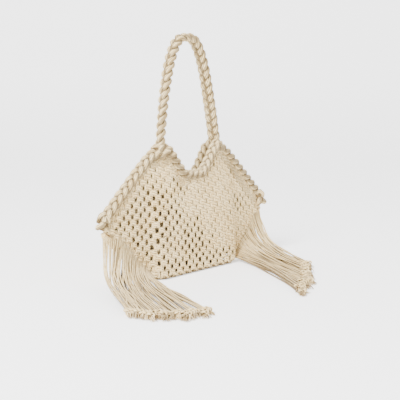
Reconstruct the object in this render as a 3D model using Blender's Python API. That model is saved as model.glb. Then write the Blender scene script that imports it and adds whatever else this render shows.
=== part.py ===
# Macrame shoulder bag of natural cotton cord, standing on its base.
# X runs along the bag's width, -Y is the front, +Z is up, and the origin is the middle of the base.
import math

import bmesh
import bpy
from mathutils import Vector

# Bag body, metres
BAG_WIDTH = 0.42        # outside the two corner knots
BAG_HEIGHT = 0.205      # floor to the top of the rim at a peak
PEAK_SPREAD = 0.141     # from the middle of one peak to the other
CORNER_LEVEL = 0.1035   # middle of the rim rope at a side corner
DIP_DEPTH = 0.0405      # how far the mouth's middle lies below the peaks
SHOULDER = 0.0217       # flat run of the rim from a peak's middle to its outer slope
MOUTH_OPENING = 0.005   # gap between the two mouth ropes at the middle
BASE_LENGTH = 0.198
BASE_DEPTH = 0.054
BASE_ROUND = 0.007      # outer radius where the front wall turns into the base
NET_THICK = 0.005       # two crossing cords of a square knot
SEAM_ROUND = 0.008      # half length of the curve from the base into a side seam
CLEARANCE = 0.0004      # between pieces that touch on the real bag
LACING_GAP = 0.0009     # between the net's upper edge and the rope it hangs from

# Ropes of the rim and the mouth, plaited from three bundles of cord
RIM_ROPE = 0.016        # mean of the rope's width and thickness
MOUTH_ROPE = 0.0155
ROPE_WIDTH = 1.03       # width across the bag, as a share of that mean
ROPE_THICK = 0.96       # thickness in the bag's plane, as a share of it
RIM_PITCH = 0.0160      # from one bulge of a rim's edge to the next
BACK_SAG = 0.012        # how much lower the back of the mouth hangs in the dip
CORNER_KNOT = 1.15      # corner knot's size as a share of the rim rope's
KNOT_DROP = 0.0115      # how far the corner knot hangs below the rope's end

# Plaited handle
HANDLE_RISE = 0.179     # from the peaks to the handle's top
HANDLE_WIDTH = 0.021
HANDLE_THICK = 0.0135
HANDLE_ARCH = 2.8       # power of the arch: higher is squarer
HANDLE_TURN = 35.0      # degrees that each arm's outer face turns to the front
HANDLE_LEAN = 0.004     # how far the handle's top leans to the back
PLAIT_PITCH = 0.0135    # from one bulge of an edge to the next, on the handle and the mouth
RINGS_PER_BULGE = 3
PLAIT_BULGE = 0.12      # depth of the scallops, as a share of the half width

# Net
KNOT_PITCH = 0.018      # between two knots of one row
ROW_PITCH = 0.0084      # between two rows, which are half a knot apart
GAP_SIZE = 0.0062       # open diamond between four knots, corner to corner

# Fringes: the cords of the net, hanging from the two side seams and laid on the floor
STRAND_LENGTH = 0.26
LOCKS = 9               # locks of strands in each fringe
HEAD_THICK = 0.009      # row of knots that closes a side seam
LOCK_WIDTH = 0.0125
LOCK_THICK = 0.0066
END_KNOT = 0.0110       # thickness of the knots at a lock's end

# Sizes that follow
HALF_WIDTH = BAG_WIDTH / 2
HALF_BASE = BASE_LENGTH / 2
PEAK_X = PEAK_SPREAD / 2
SHOULDER_X = PEAK_X + SHOULDER
RIM_END_X = HALF_WIDTH - RIM_ROPE * CORNER_KNOT * 0.41
NET_END_X = HALF_WIDTH - 0.95 * RIM_ROPE
RIM_WIDTH = RIM_ROPE * ROPE_WIDTH
RIM_THICK = RIM_ROPE * ROPE_THICK
MOUTH_WIDTH = MOUTH_ROPE * ROPE_WIDTH
MOUTH_THICK = MOUTH_ROPE * ROPE_THICK
RIM_LEVEL = BAG_HEIGHT - RIM_THICK / 2
RIM_SLOPE = (RIM_LEVEL - CORNER_LEVEL) / (RIM_END_X - SHOULDER_X)
MOUTH_LEVEL = BAG_HEIGHT - MOUTH_THICK / 2
MOUTH_SIDE = MOUTH_WIDTH / 2 + CLEARANCE
CORNER_BOTTOM = CORNER_LEVEL - 1.3 * RIM_ROPE
SEAM_SLOPE = CORNER_BOTTOM / (NET_END_X - HALF_BASE)
SEAM_STRETCH = math.hypot(1.0, SEAM_SLOPE)
WALL_ROUND = BASE_ROUND - NET_THICK / 2
ARCH_TOP = BAG_HEIGHT + HANDLE_RISE - HANDLE_THICK / 2

# Half depth of the bag at its base, from the middle (reach 0) to a corner (reach 1)
# columns: share of the half width, share of half the base depth
BASE_OUTLINE = (
    (0.00, 0.97),
    (0.33, 1.00),
    (0.43, 1.00),
    (0.47, 0.90),
    (0.51, 0.62),
    (0.56, 0.50),
    (0.65, 0.43),
    (0.80, 0.34),
    (1.00, 0.26),
)

# Where the knots of the net are pulled apart enough to see through
# columns: middle as shares of the half width and of the bag height, half sizes as the same shares
FRONT_OPEN = (
    (-0.50, 0.44, 0.185, 0.165),
    (-0.09, 0.25, 0.140, 0.115),
    (0.00, 0.085, 0.420, 0.036),
    (-0.85, 0.43, 0.060, 0.050),
    (-0.17, 0.71, 0.045, 0.030),
)
BACK_OPEN = (
    (0.42, 0.44, 0.160, 0.120),
    (-0.20, 0.30, 0.110, 0.080),
    (0.00, 0.155, 0.400, 0.025),
)

# Lay of the fringes, from the corner (seam 0) to the base (seam 1)
# columns: seam share, heading in degrees from straight ahead to the left, run as a share of the strand,
# heading where it leaves the seam, reach of that first part as a share of the run,
# height of the first and the second part as shares of the seam's height,
# reach of the last part as a share of the run
LEFT_LAY = (
    (0.00, 36.0, 0.67, 42.0, 0.00, 0.04, 0.23, 0.79),
    (0.35, 36.0, 0.81, 39.0, 0.06, 0.12, 0.17, 0.71),
    (0.70, 32.5, 0.92, 35.0, 0.12, 0.30, 0.14, 0.64),
    (1.00, 27.7, 0.98, 31.0, 0.18, 1.00, 1.25, 0.56),
)
RIGHT_LAY = (
    (0.00, 23.0, 0.57, 4.0, 0.11, 0.08, 0.14, 0.44),
    (0.35, 23.8, 0.71, 10.0, 0.12, 0.12, 0.12, 0.48),
    (0.70, 27.3, 0.93, 16.0, 0.13, 0.25, 0.12, 0.53),
    (1.00, 34.4, 1.17, 3.0, 0.12, 0.85, 0.87, 0.56),
)

# Size of a lock along its strands
# columns: share of the length, share of the room beside its neighbours, share of the lock's thickness
LOCK_SHAPE = (
    (0.00, 0.90, 0.95),
    (0.10, 1.00, 1.00),
    (0.70, 1.00, 1.00),
    (0.80, 0.92, 1.00),
    (0.90, 1.00, 1.55),
    (1.00, 0.70, 1.30),
)

# Corner knot below the rope's end
# columns: share of the drop, size as a share of the knot's
KNOT_SHAPE = (
    (0.30, 0.96),
    (0.65, 0.78),
    (0.90, 0.42),
)

COTTON = (0.76, 0.67, 0.52)
ROPE_COTTON = (0.78, 0.70, 0.55)


def remove_everything():
    for item in list(bpy.data.objects):
        bpy.data.objects.remove(item)


def new_collection(name):
    made = bpy.data.collections.new(name)
    bpy.context.scene.collection.children.link(made)
    return made


def cotton(name, colour):
    finish = bpy.data.materials.new(name)
    finish.use_nodes = True
    shader = finish.node_tree.nodes["Principled BSDF"]
    shader.inputs["Base Color"].default_value = (*colour, 1.0)
    shader.inputs["Roughness"].default_value = 0.9
    shader.inputs["Metallic"].default_value = 0.0
    return finish


def from_table(table, place, column):
    """Value of a column of a table at a place, straight between its rows."""
    if place <= table[0][0]:
        return table[0][column]
    for low, high in zip(table, table[1:]):
        if place <= high[0]:
            part = (place - low[0]) / (high[0] - low[0])
            return low[column] + part * (high[column] - low[column])
    return table[-1][column]


def ease(part):
    part = min(max(part, 0.0), 1.0)
    return part * part * (3.0 - 2.0 * part)


def rim_height(x):
    """Middle of the rim rope: flat over the peak, then a straight slope to the corner."""
    past = abs(x) - SHOULDER_X
    rounding = SHOULDER * 0.55
    return RIM_LEVEL - RIM_SLOPE * (math.hypot(past, rounding) + past) / 2


def mouth_height(x, sag=0.0):
    """Middle of a mouth rope: flat at the dip and at the peaks, with a curve between them."""
    low = 0.20 * PEAK_X
    high = 0.96 * PEAK_X
    return MOUTH_LEVEL - (DIP_DEPTH + sag) * (1.0 - ease((abs(x) - low) / (high - low)))


def mouth_side(x):
    """Distance of a mouth rope's middle from the bag's middle plane."""
    share = min(abs(x) / PEAK_X, 1.0)
    return MOUTH_SIDE + MOUTH_OPENING / 2 * (1.0 - share * share) ** 2


def slope_of(height, x):
    step = RIM_ROPE / 16
    return (height(x + step) - height(x - step)) / (2 * step)


def net_top(x, sag=0.0):
    """Upper edge of the net, just under the rope that carries it."""
    def mouth_level(at):
        return mouth_height(at, sag)

    reach = abs(x)
    mouth = MOUTH_THICK / 2 + LACING_GAP
    rim = RIM_THICK / 2 * (1.0 + (CORNER_KNOT - 1.0) * ease((reach / NET_END_X - 0.85) / 0.12)) + LACING_GAP
    below_mouth = mouth_level(x) - mouth * math.hypot(1.0, slope_of(mouth_level, x))
    below_rim = rim_height(x) - rim * math.hypot(1.0, slope_of(rim_height, x))
    if reach < PEAK_X - SHOULDER / 2:
        return below_mouth
    if reach > PEAK_X + SHOULDER / 2:
        return below_rim
    return min(below_mouth, below_rim)


def net_bottom(x):
    """Underside of the net: the floor along the base, then up the side seam."""
    past = abs(x) - HALF_BASE
    if past <= -SEAM_ROUND:
        return 0.0
    if past < SEAM_ROUND:
        return SEAM_SLOPE * (past + SEAM_ROUND) ** 2 / (4 * SEAM_ROUND)
    return SEAM_SLOPE * past


def top_side(x):
    """Distance of the net's middle from the bag's middle plane at its upper edge."""
    closed = NET_THICK / 2 + CLEARANCE
    part = ease((abs(x) - 0.75 * PEAK_X) / (0.55 * PEAK_X))
    return mouth_side(x) * (1.0 - part) + closed * part


def base_side(x):
    """The same at the base, where the bag is deepest."""
    return BASE_DEPTH / 2 * from_table(BASE_OUTLINE, abs(x) / HALF_WIDTH, 1) - NET_THICK / 2


def wall_line(x, foot, sag=0.0):
    """Middle line of a wall in side view, from its upper edge down to the height foot."""
    steps = 5
    top = max(net_top(x, sag), foot + NET_THICK / 2)
    line = []
    for i in range(steps + 1):
        part = i / steps
        swell = 1.0 - (1.0 - part) ** 1.6
        side = top_side(x) + (base_side(x) - top_side(x)) * swell
        line.append((side, top + (foot - top) * part))
    return line


def turn_round(x):
    """Radius of the turn from the wall into the base at x, for the wall's middle line."""
    return min(WALL_ROUND, base_side(x) - CLEARANCE)


def front_line(x):
    """Front wall, the turn under it, the base, and the turn up to the back wall's foot."""
    radius = turn_round(x)
    middle = net_bottom(x) + NET_THICK / 2 + radius
    line = [(-side, height) for side, height in wall_line(x, middle)]
    turns = 3
    flat = base_side(x) - radius
    for i in range(1, turns + 1):
        angle = math.radians(180 + 90 * i / turns)
        line.append((-flat + radius * math.cos(angle), middle + radius * math.sin(angle)))
    line.append((0.0, middle - radius))
    for i in range(turns + 1):
        angle = math.radians(270 + 90 * i / turns)
        line.append((flat + radius * math.cos(angle), middle + radius * math.sin(angle)))
    return line


def back_line(x):
    """Back wall, which ends where the front piece has turned up to meet it."""
    foot = net_bottom(x) + NET_THICK / 2 + turn_round(x) + CLEARANCE
    return [(side, height) for side, height in wall_line(x, foot, BACK_SAG)]


def thicken(line, thick):
    """Closed outline round a middle line, drawn with half the thickness on each side."""
    outer = []
    inner = []
    for i, (y, z) in enumerate(line):
        before = line[max(i - 1, 0)]
        after = line[min(i + 1, len(line) - 1)]
        along = Vector((after[0] - before[0], after[1] - before[1])).normalized()
        if i == 0 or i == len(line) - 1:
            along = Vector((0.0, 1.0 if along.y > 0 else -1.0))
        side = Vector((along.y, -along.x)) * thick / 2
        outer.append((y + side.x, z + side.y))
        inner.append((y - side.x, z - side.y))
    return outer, inner


def new_mesh(name, work):
    """Mesh of a closed body, its faces turned outwards."""
    bmesh.ops.recalc_face_normals(work, faces=work.faces)
    if work.calc_volume(signed=True) < 0:
        bmesh.ops.reverse_faces(work, faces=work.faces)
    mesh = bpy.data.meshes.new(name)
    work.to_mesh(mesh)
    work.free()
    return mesh


def finish_mesh(name, work, finish, place):
    mesh = new_mesh(name, work)
    mesh.materials.append(finish)
    mesh.shade_smooth()
    mesh.set_sharp_from_angle(angle=math.radians(50))
    made = bpy.data.objects.new(name, mesh)
    place.objects.link(made)
    return made


def loft(name, rings, finish, place):
    """Closed body through rings of as many points each, with a flat face at both ends."""
    work = bmesh.new()
    rows = [[work.verts.new(point) for point in ring] for ring in rings]
    count = len(rows[0])
    for near, far in zip(rows, rows[1:]):
        for i in range(count):
            j = (i + 1) % count
            work.faces.new((near[i], near[j], far[j], far[i]))
    work.faces.new(rows[0])
    work.faces.new(rows[-1])
    return finish_mesh(name, work, finish, place)


def net_wall(name, line_at, finish, place):
    """Wall of net lofted across the bag through its outline at each station."""
    dip_steps = 6
    stations = [PEAK_X * 0.985 * i / dip_steps for i in range(dip_steps + 1)]
    stations += [SHOULDER_X * 0.93, HALF_BASE - SEAM_ROUND, HALF_BASE, HALF_BASE + SEAM_ROUND]
    outer_steps = 4
    start = HALF_BASE + SEAM_ROUND
    stations += [start + (NET_END_X - start) * (i + 1) / outer_steps for i in range(outer_steps)]
    stations = sorted({round(-x, 6) for x in stations} | {round(x, 6) for x in stations})
    work = bmesh.new()
    grid = []
    for x in stations:
        sides = thicken(line_at(x), NET_THICK)
        grid.append([[work.verts.new((x, y, z)) for y, z in side] for side in sides])
    for near, far in zip(grid, grid[1:]):
        for a, b in zip(near, far):
            for i in range(len(a) - 1):
                work.faces.new((a[i], a[i + 1], b[i + 1], b[i]))
        for i in (0, -1):
            work.faces.new((near[0][i], near[1][i], far[1][i], far[0][i]))
    for outer, inner in (grid[0], grid[-1]):
        for i in range(len(outer) - 1):
            work.faces.new((outer[i], outer[i + 1], inner[i + 1], inner[i]))
    return finish_mesh(name, work, finish, place)


def gap_places(zones, sag):
    """Middles of the open diamonds: every place of the knot pattern that lies in a zone."""
    places = []
    rows = int(BAG_HEIGHT / ROW_PITCH)
    columns = int(HALF_WIDTH / KNOT_PITCH) + 1
    margin = GAP_SIZE * 0.9
    for row in range(1, rows):
        z = row * ROW_PITCH + BASE_ROUND * 0.35
        shift = KNOT_PITCH / 2 if row % 2 else 0.0
        for column in range(-columns, columns + 1):
            x = column * KNOT_PITCH + shift
            if abs(x) > NET_END_X - margin:
                continue
            low = net_bottom(x) + BASE_ROUND * 0.55 + margin * SEAM_STRETCH
            high = min(net_top(x - margin, sag), net_top(x + margin, sag)) - margin
            if not low < z < high:
                continue
            for middle_x, middle_z, half_x, half_z in zones:
                across = (x / HALF_WIDTH - middle_x) / half_x
                upward = (z / BAG_HEIGHT - middle_z) / half_z
                if across * across + upward * upward < 1.0:
                    places.append((x, z))
                    break
    return places


def gap_cutter(name, zones, side, place):
    """Diamond bars that run through one wall of the net, as one cutter."""
    work = bmesh.new()
    near = side * CLEARANCE
    far = side * BASE_DEPTH
    for x, z in gap_places(zones, BACK_SAG if side > 0 else 0.0):
        corners = []
        for step in range(4):
            angle = math.radians(90 * step)
            corners.append((x + GAP_SIZE / 2 * math.sin(angle), z + GAP_SIZE / 2 * math.cos(angle)))
        front = [work.verts.new((a, near, b)) for a, b in corners]
        back = [work.verts.new((a, far, b)) for a, b in corners]
        for i in range(4):
            j = (i + 1) % 4
            work.faces.new((front[i], front[j], back[j], back[i]))
        work.faces.new(front)
        work.faces.new(back)
    cutter = bpy.data.objects.new(name, new_mesh(name, work))
    place.objects.link(cutter)
    cutter.hide_render = True
    cutter.display_type = "WIRE"
    return cutter


def cut(piece, cutter):
    step = piece.modifiers.new("net_gaps", "BOOLEAN")
    step.operation = "DIFFERENCE"
    step.solver = "EXACT"
    step.object = cutter


def even_points(curve, count):
    """Points at even distances along a curve given by a function of 0 to 1."""
    fine = [Vector(curve(i / 400)) for i in range(401)]
    lengths = [0.0]
    for a, b in zip(fine, fine[1:]):
        lengths.append(lengths[-1] + (b - a).length)
    points = []
    at = 0
    for i in range(count + 1):
        wanted = lengths[-1] * i / count
        while at < 399 and lengths[at + 1] < wanted:
            at += 1
        part = (wanted - lengths[at]) / (lengths[at + 1] - lengths[at])
        points.append(fine[at].lerp(fine[at + 1], min(max(part, 0.0), 1.0)))
    return points, lengths[-1]


def frames(points, across, ends=None):
    """Tangent and two side directions at each point, the first side kept near across."""
    made = []
    last = len(points) - 1
    for i in range(len(points)):
        along = (points[min(i + 1, last)] - points[max(i - 1, 0)]).normalized()
        if ends and i in (0, last):
            along = Vector(ends[0 if i == 0 else 1])
        side = (across - across.dot(along) * along).normalized()
        made.append((along, side, along.cross(side)))
    return made


def plait_points(path, pitch):
    """Stations along a plait, a fixed number for each bulge of its edge, and the plait's length."""
    length = even_points(path, 10)[1]
    bulges = round(length / pitch)
    return even_points(path, bulges * RINGS_PER_BULGE)[0], length


def plait_rings(points, width, thick, ends, turn=None, swell=None):
    """Rings of a plait of three bundles, whose two edges bulge in turn."""
    count = 8
    last = len(points) - 1
    rings = []
    for i, (point, (_, side, other)) in enumerate(zip(points, frames(points, Vector((0, 1, 0)), ends))):
        lean = turn(2 * i / last - 1) if turn else 0.0
        size = swell(i / last) if swell else 1.0
        across = side * math.cos(lean) + other * math.sin(lean)
        through = other * math.cos(lean) - side * math.sin(lean)
        wave = math.cos(2 * math.pi * i / RINGS_PER_BULGE)
        ring = []
        for j in range(count):
            angle = 2 * math.pi * (j + 0.5) / count
            edge = math.cos(angle)
            bulge = 1.0 - PLAIT_BULGE * (1.0 + wave * (1 if edge > 0 else -1)) / 2
            wide = width / 2 * size * edge / math.cos(math.pi / count) * bulge
            deep = thick / 2 * size * math.sin(angle) / math.sin(3 * math.pi / count)
            ring.append(point + across * wide + through * deep)
        rings.append(ring)
    return rings


def rim_rope(name, side, finish, place):
    """Plait along one outer slope, from the peak down to the knot at the corner."""
    start = PEAK_X + CLEARANCE / 2

    def path(part):
        x = start + (RIM_END_X - start) * part
        return (side * x, 0.0, rim_height(x))

    points, length = plait_points(path, RIM_PITCH)
    knot = RIM_WIDTH

    def swell(part):
        return 1.0 + (CORNER_KNOT - 1.0) * ease((part * length - length + knot) / (knot * 0.6))

    tip = (points[-1] - points[-2]).normalized()
    rings = plait_rings(points, RIM_WIDTH, RIM_THICK, ((side, 0, 0), tip), swell=swell)
    middle = points[-1]
    drop = Vector((side * 0.25, 0.0, -1.0)) * KNOT_DROP
    for reach, size in KNOT_SHAPE:
        rings.append([middle + drop * reach + (point - middle) * size for point in rings[len(points) - 1]])
    return loft(name, rings, finish, place)


def mouth_rope(name, side, finish, place):
    """Plait along one side of the mouth, from peak to peak through the dip."""
    end = PEAK_X - CLEARANCE / 2
    sag = BACK_SAG if side > 0 else 0.0

    def path(part):
        x = end * (2 * part - 1)
        return (x, side * mouth_side(x), mouth_height(x, sag))

    points = plait_points(path, PLAIT_PITCH)[0]
    return loft(name, plait_rings(points, MOUTH_WIDTH, MOUTH_THICK, ((1, 0, 0), (1, 0, 0))), finish, place)


def handle(name, finish, place):
    """Plaited band that rises from one peak and comes down on the other."""
    foot = BAG_HEIGHT + CLEARANCE
    rise = ARCH_TOP - foot

    def path(part):
        share = -math.cos(math.pi * part)
        lean = HANDLE_LEAN * (1.0 - abs(share) ** 6)
        return (PEAK_X * share, lean, foot + rise * (1.0 - abs(share) ** HANDLE_ARCH))

    def turn(share):
        return -math.radians(HANDLE_TURN) * abs(share) * min(1.0, abs(share) * 1.6)

    points = plait_points(path, PLAIT_PITCH)[0]
    rings = plait_rings(points, HANDLE_WIDTH, HANDLE_THICK, ((0, 0, 1), (0, 0, -1)), turn=turn)
    for ring in (rings[0], rings[-1]):
        for corner in ring:
            corner.z = foot
    return loft(name, rings, finish, place)


def seam_point(side, share):
    """Middle of a fringe's head: share 0 is at the corner, 1 where the seam meets the floor."""
    drop = (HEAD_THICK / 2 + CLEARANCE) * SEAM_STRETCH
    low = HALF_BASE + (HEAD_THICK / 2 + drop) / SEAM_SLOPE
    x = RIM_END_X + (low - RIM_END_X) * share
    return Vector((side * x, 0.0, SEAM_SLOPE * (x - HALF_BASE) - drop))


def lock_path(side, share, lay):
    """Path of one lock: down from the seam, forward, and along the floor."""
    heading, run, first_heading, first_reach, first_height, second_height, last_reach = (
        from_table(lay, share, column) for column in range(1, 8)
    )
    run *= STRAND_LENGTH
    start = seam_point(side, share)
    end = start + ahead(heading) * run
    end.z = END_KNOT / 2
    leave = start + ahead(first_heading) * run * first_reach
    leave.z = max(start.z * first_height, LOCK_THICK * 0.6)
    land = end - ahead(heading + (heading - first_heading) * 0.35) * run * last_reach
    land.z = max(start.z * second_height, LOCK_THICK * 0.6)

    def path(part):
        back = 1.0 - part
        point = start * back**3 + leave * 3 * back * back * part
        return point + land * 3 * back * part * part + end * part**3

    return path


def ahead(heading):
    """Level direction, in degrees from straight ahead of the bag to its left."""
    angle = math.radians(heading)
    return Vector((-math.sin(angle), -math.cos(angle), 0.0))


def fringe_head(name, side, finish, place):
    """Row of knots along the side seam, where the strands begin."""
    ends = [seam_point(side, 0.0), seam_point(side, 1.0)]
    along = (ends[1] - ends[0]).normalized()
    across = Vector((0, 1, 0))
    other = along.cross(across)
    rings = []
    for share, size in ((0.0, 0.75), (0.03, 1.0), (0.97, 1.0), (1.0, 0.75)):
        middle = ends[0].lerp(ends[1], share)
        reach = HEAD_THICK / 2 * size
        ring = []
        for j in range(8):
            angle = 2 * math.pi * (j + 0.5) / 8
            ring.append(middle + across * reach * math.cos(angle) + other * reach * math.sin(angle))
        rings.append(ring)
    return loft(name, rings, finish, place)


def lock_rings(side, number, lay):
    """Rings of one lock, each as wide as the room it has beside its neighbours."""
    steps = 9
    count = 6
    flat = math.sin(math.radians(60))
    half = 0.5 / LOCKS
    share = (number + 0.5) / LOCKS
    points, low, high = (
        even_points(lock_path(side, place, lay), steps)[0] for place in (share, share - half, share + half)
    )
    rings = []
    for i, point in enumerate(points):
        along = (points[min(i + 1, steps)] - points[max(i - 1, 0)]).normalized()
        apart = high[i] - low[i]
        apart -= apart.dot(along) * along
        room = min(max(apart.length * 0.95, LOCK_WIDTH * 0.6), LOCK_WIDTH * 1.9)
        across = apart.normalized()
        through = along.cross(across)
        wide = room / 2 * from_table(LOCK_SHAPE, i / steps, 1)
        thick = LOCK_THICK / 2 * from_table(LOCK_SHAPE, i / steps, 2)
        ring = []
        for j in range(count):
            angle = 2 * math.pi * j / count
            ring.append(point + across * wide * math.cos(angle) + through * thick * math.sin(angle) / flat)
        rings.append(ring)
    return rings


def fringe(name, side, lay, finish, place, pieces):
    """Locks of strands, fused to the row of knots that closes the side seam."""
    head = fringe_head(name, side, finish, place)
    for number in range(LOCKS):
        piece = loft(f"{name}_lock_{number}", lock_rings(side, number, lay), finish, pieces)
        piece.hide_render = True
        piece.display_type = "WIRE"
        step = head.modifiers.new(f"lock_{number}", "BOOLEAN")
        step.operation = "UNION"
        step.solver = "EXACT"
        step.object = piece
    return head


def build():
    remove_everything()
    bag = new_collection("macrame_bag")
    cutters = new_collection("cutters")
    net_finish = cotton("knotted_cotton", COTTON)
    rope_finish = cotton("cotton_rope", ROPE_COTTON)
    front = net_wall("front_panel", front_line, net_finish, bag)
    cut(front, gap_cutter("front_gaps", FRONT_OPEN, -1, cutters))
    back = net_wall("back_panel", back_line, net_finish, bag)
    cut(back, gap_cutter("back_gaps", BACK_OPEN, 1, cutters))
    rim_rope("left_rim_rope", -1, rope_finish, bag)
    rim_rope("right_rim_rope", 1, rope_finish, bag)
    mouth_rope("front_mouth_rope", -1, rope_finish, bag)
    mouth_rope("back_mouth_rope", 1, rope_finish, bag)
    handle("handle", rope_finish, bag)
    fringe("left_fringe", -1, LEFT_LAY, net_finish, bag, cutters)
    fringe("right_fringe", 1, RIGHT_LAY, net_finish, bag, cutters)


build()
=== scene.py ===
# Macrame shoulder bag: every cord of its net, ropes, plait and fringes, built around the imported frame.
import math

import bpy
import numpy as np
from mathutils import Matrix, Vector


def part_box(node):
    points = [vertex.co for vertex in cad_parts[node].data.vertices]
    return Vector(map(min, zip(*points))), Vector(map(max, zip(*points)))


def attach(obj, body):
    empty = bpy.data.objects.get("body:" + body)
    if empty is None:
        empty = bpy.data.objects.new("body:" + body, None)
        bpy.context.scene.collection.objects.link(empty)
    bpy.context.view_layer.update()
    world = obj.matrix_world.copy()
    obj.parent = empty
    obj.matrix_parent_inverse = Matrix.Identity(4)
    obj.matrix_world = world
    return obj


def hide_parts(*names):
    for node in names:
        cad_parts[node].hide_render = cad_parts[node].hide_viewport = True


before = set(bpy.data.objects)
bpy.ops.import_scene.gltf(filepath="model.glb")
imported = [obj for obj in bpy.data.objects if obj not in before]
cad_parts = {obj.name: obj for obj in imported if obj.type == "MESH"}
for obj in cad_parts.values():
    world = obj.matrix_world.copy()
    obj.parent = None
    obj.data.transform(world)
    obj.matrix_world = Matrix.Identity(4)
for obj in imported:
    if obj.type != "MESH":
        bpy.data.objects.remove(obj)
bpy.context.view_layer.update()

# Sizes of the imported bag, metres
_, front_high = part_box("front_panel")
handle_low, handle_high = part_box("handle")
NET_END_X = front_high.x
BASE_HALF_DEPTH = front_high.y

# The bag's own sizes, as its model has them, metres
HALF_WIDTH = 0.210
BAG_HEIGHT = 0.205
HALF_BASE = 0.099
PEAK_X = 0.0705
SHOULDER = 0.0217
CORNER_LEVEL = 0.1035
DIP_DEPTH = 0.0405
MOUTH_OPENING = 0.005
NET_THICK = 0.005
BASE_ROUND = 0.007
SEAM_ROUND = 0.008
RIM_ROPE = 0.016
MOUTH_ROPE = 0.0155
KNOT_DROP = 0.0115
LACING_GAP = 0.0009
RIM_PITCH = 0.0160
BACK_SAG = 0.012
HANDLE_WIDTH = 0.021
HANDLE_THICK = 0.0135
HANDLE_LEAN = 0.004
PLAIT_PITCH = 0.0135
KNOT_PITCH = 0.018
ROW_PITCH = 0.0084
STRAND_LENGTH = 0.26
HEAD_THICK = 0.009
STRAND_ROOM = 0.0066    # the fringe's depth where it lies on the floor
CLEARANCE = 0.0004

# Its shares and turns, as its model has them
CORNER_KNOT = 1.15      # of the rim rope's size
KNOT_INSET = 0.41       # of the corner knot's size, from the bag's side to the rope's end
SEAM_DROP = 1.3         # of the rim rope's size, from the corner to the seam
ROPE_WIDTH = 1.03       # of a rope's mean size
ROPE_THICK = 0.96
SHOULDER_ROUND = 0.55   # of the shoulder's width
DIP_FLAT = (0.20, 0.96)  # of the way to the peak, where the dip's curve starts and ends
WALL_SWELL = 1.6        # power of the walls' curve, from the top down to the base
HANDLE_ARCH = 2.8       # power of the arch's curve
HANDLE_TURN = 35.0      # degrees, at its feet
HANDLE_SUNK = 0.8       # of the rim rope's size, into the peaks

SHOULDER_X = PEAK_X + SHOULDER
RIM_END_X = HALF_WIDTH - RIM_ROPE * CORNER_KNOT * KNOT_INSET
RIM_LEVEL = BAG_HEIGHT - RIM_ROPE * ROPE_THICK / 2
RIM_SLOPE = (RIM_LEVEL - CORNER_LEVEL) / (RIM_END_X - SHOULDER_X)
MOUTH_LEVEL = BAG_HEIGHT - MOUTH_ROPE * ROPE_THICK / 2
MOUTH_SIDE = MOUTH_ROPE * ROPE_WIDTH / 2 + CLEARANCE
SEAM_SLOPE = (CORNER_LEVEL - SEAM_DROP * RIM_ROPE) / (NET_END_X - HALF_BASE)
SEAM_STRETCH = math.hypot(1.0, SEAM_SLOPE)
WALL_ROUND = BASE_ROUND - NET_THICK / 2
HANDLE_TOP = handle_high.z - HANDLE_THICK / 2

# Cord of natural cotton
CORD = 0.0027
PLIES = 3
PLY_PITCH = 0.0036      # along the cord, from one ply's ridge to the next
STRAND = 0.0024         # the fringe's cords, a little loosened

# Fringes
STRANDS = 46            # in each fringe
UNDER_STRANDS = 27      # and beneath them
STRAND_STEPS = 44
UNDER_FROM = 0.15       # share of the seam at which the strands beneath start
UPPER_HEIGHT = (-0.35, 0.45)  # of the strands' room on the floor, above its middle
UNDER_HEIGHT = -0.6     # the same for the strands beneath
STRAY_ALONG = 0.024     # how much strands stray: along the seam, in length and to the sides
STRAY_LENGTH = 0.022
STRAY_SIDEWAYS = 0.0011
BENDS = 4
# A strand is left lit on this side and painted in shade on its flanks and underside
STRAND_OUTSIDE = (-0.30, -0.75, 0.60)  # the side of a strand that is away from the bag and the floor
# Shade is painted deepest in this hollow of the fringes
HOLLOW = (0.66, 0.36)   # where the fringes lie deepest, as shares of the seam and of the strand
HOLLOW_SIZE = (0.12, 0.16)  # how far that reaches, as the same shares
SEAM_REACH = 0.5        # of a cord, from the seam's outside in to the middle of its hitches
HITCH_PITCH = 1.06      # cords, from one half hitch to the next

# Knots at the ends of ropes and strands, and the frayed fibres beyond them
# pairs: the least and the most that a strand's end has
KNOT_LOBES = 1.4        # how far a round knot's three loops stand out
END_KNOT_SIZE = (0.62, 0.90)  # of a strand's thickness
END_KNOT_BACK = (0.0, 0.015)  # from the strand's end back
END_KNOT_TILT = (-0.6, 0.6)
FIBRES = 7              # locks of fibres
FIBRE_TAPER = np.array([0.34, 0.31, 0.27, 0.21, 0.12])  # a lock's radii, in strands
FIBRE_LENGTH = (0.005, 0.011)
FIBRE_LIFT = (-0.2, 0.5)  # of a lock's length
FIBRE_SHADE = (-0.5, 1.4)
FIBRE_SPREAD = 0.40
FIBRE_BEND = 0.0016
FIBRE_REST = 0.0011     # height at which a lock lies on the floor

# Plaits: three bundles of cords
BUNDLES = 3
BUNDLE_CORDS = 8
BUNDLE_TWIST = 12       # plait pitches in one turn of a bundle's cords
SWING = (0.26, 0.25)    # a bundle's way across and over, as shares of the plait's width and depth
BUNDLE_SIZE = (0.24, 0.27)  # half sizes of a bundle, as the same shares
BUNDLE_TURN = 1.3       # from one bundle's first cord to the next one's, radians
CORD_PRESS = 1.12       # of the radius at which a bundle's cords would just touch
CORE_ROOM = 1.2         # cord radii, from a bundle's outside to the core that fills it
ROPE_FULLNESS = 1.05    # of the built rope's size
ROPE_STEP = 0.0022
HANDLE_STEP = 0.0026

# Half depth of the bag at its base
# columns: share of the half width, share of half the base depth
BASE_OUTLINE = (
    (0.00, 0.97),
    (0.33, 1.00),
    (0.43, 1.00),
    (0.47, 0.90),
    (0.51, 0.62),
    (0.56, 0.50),
    (0.65, 0.43),
    (0.80, 0.34),
    (1.00, 0.26),
)

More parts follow.
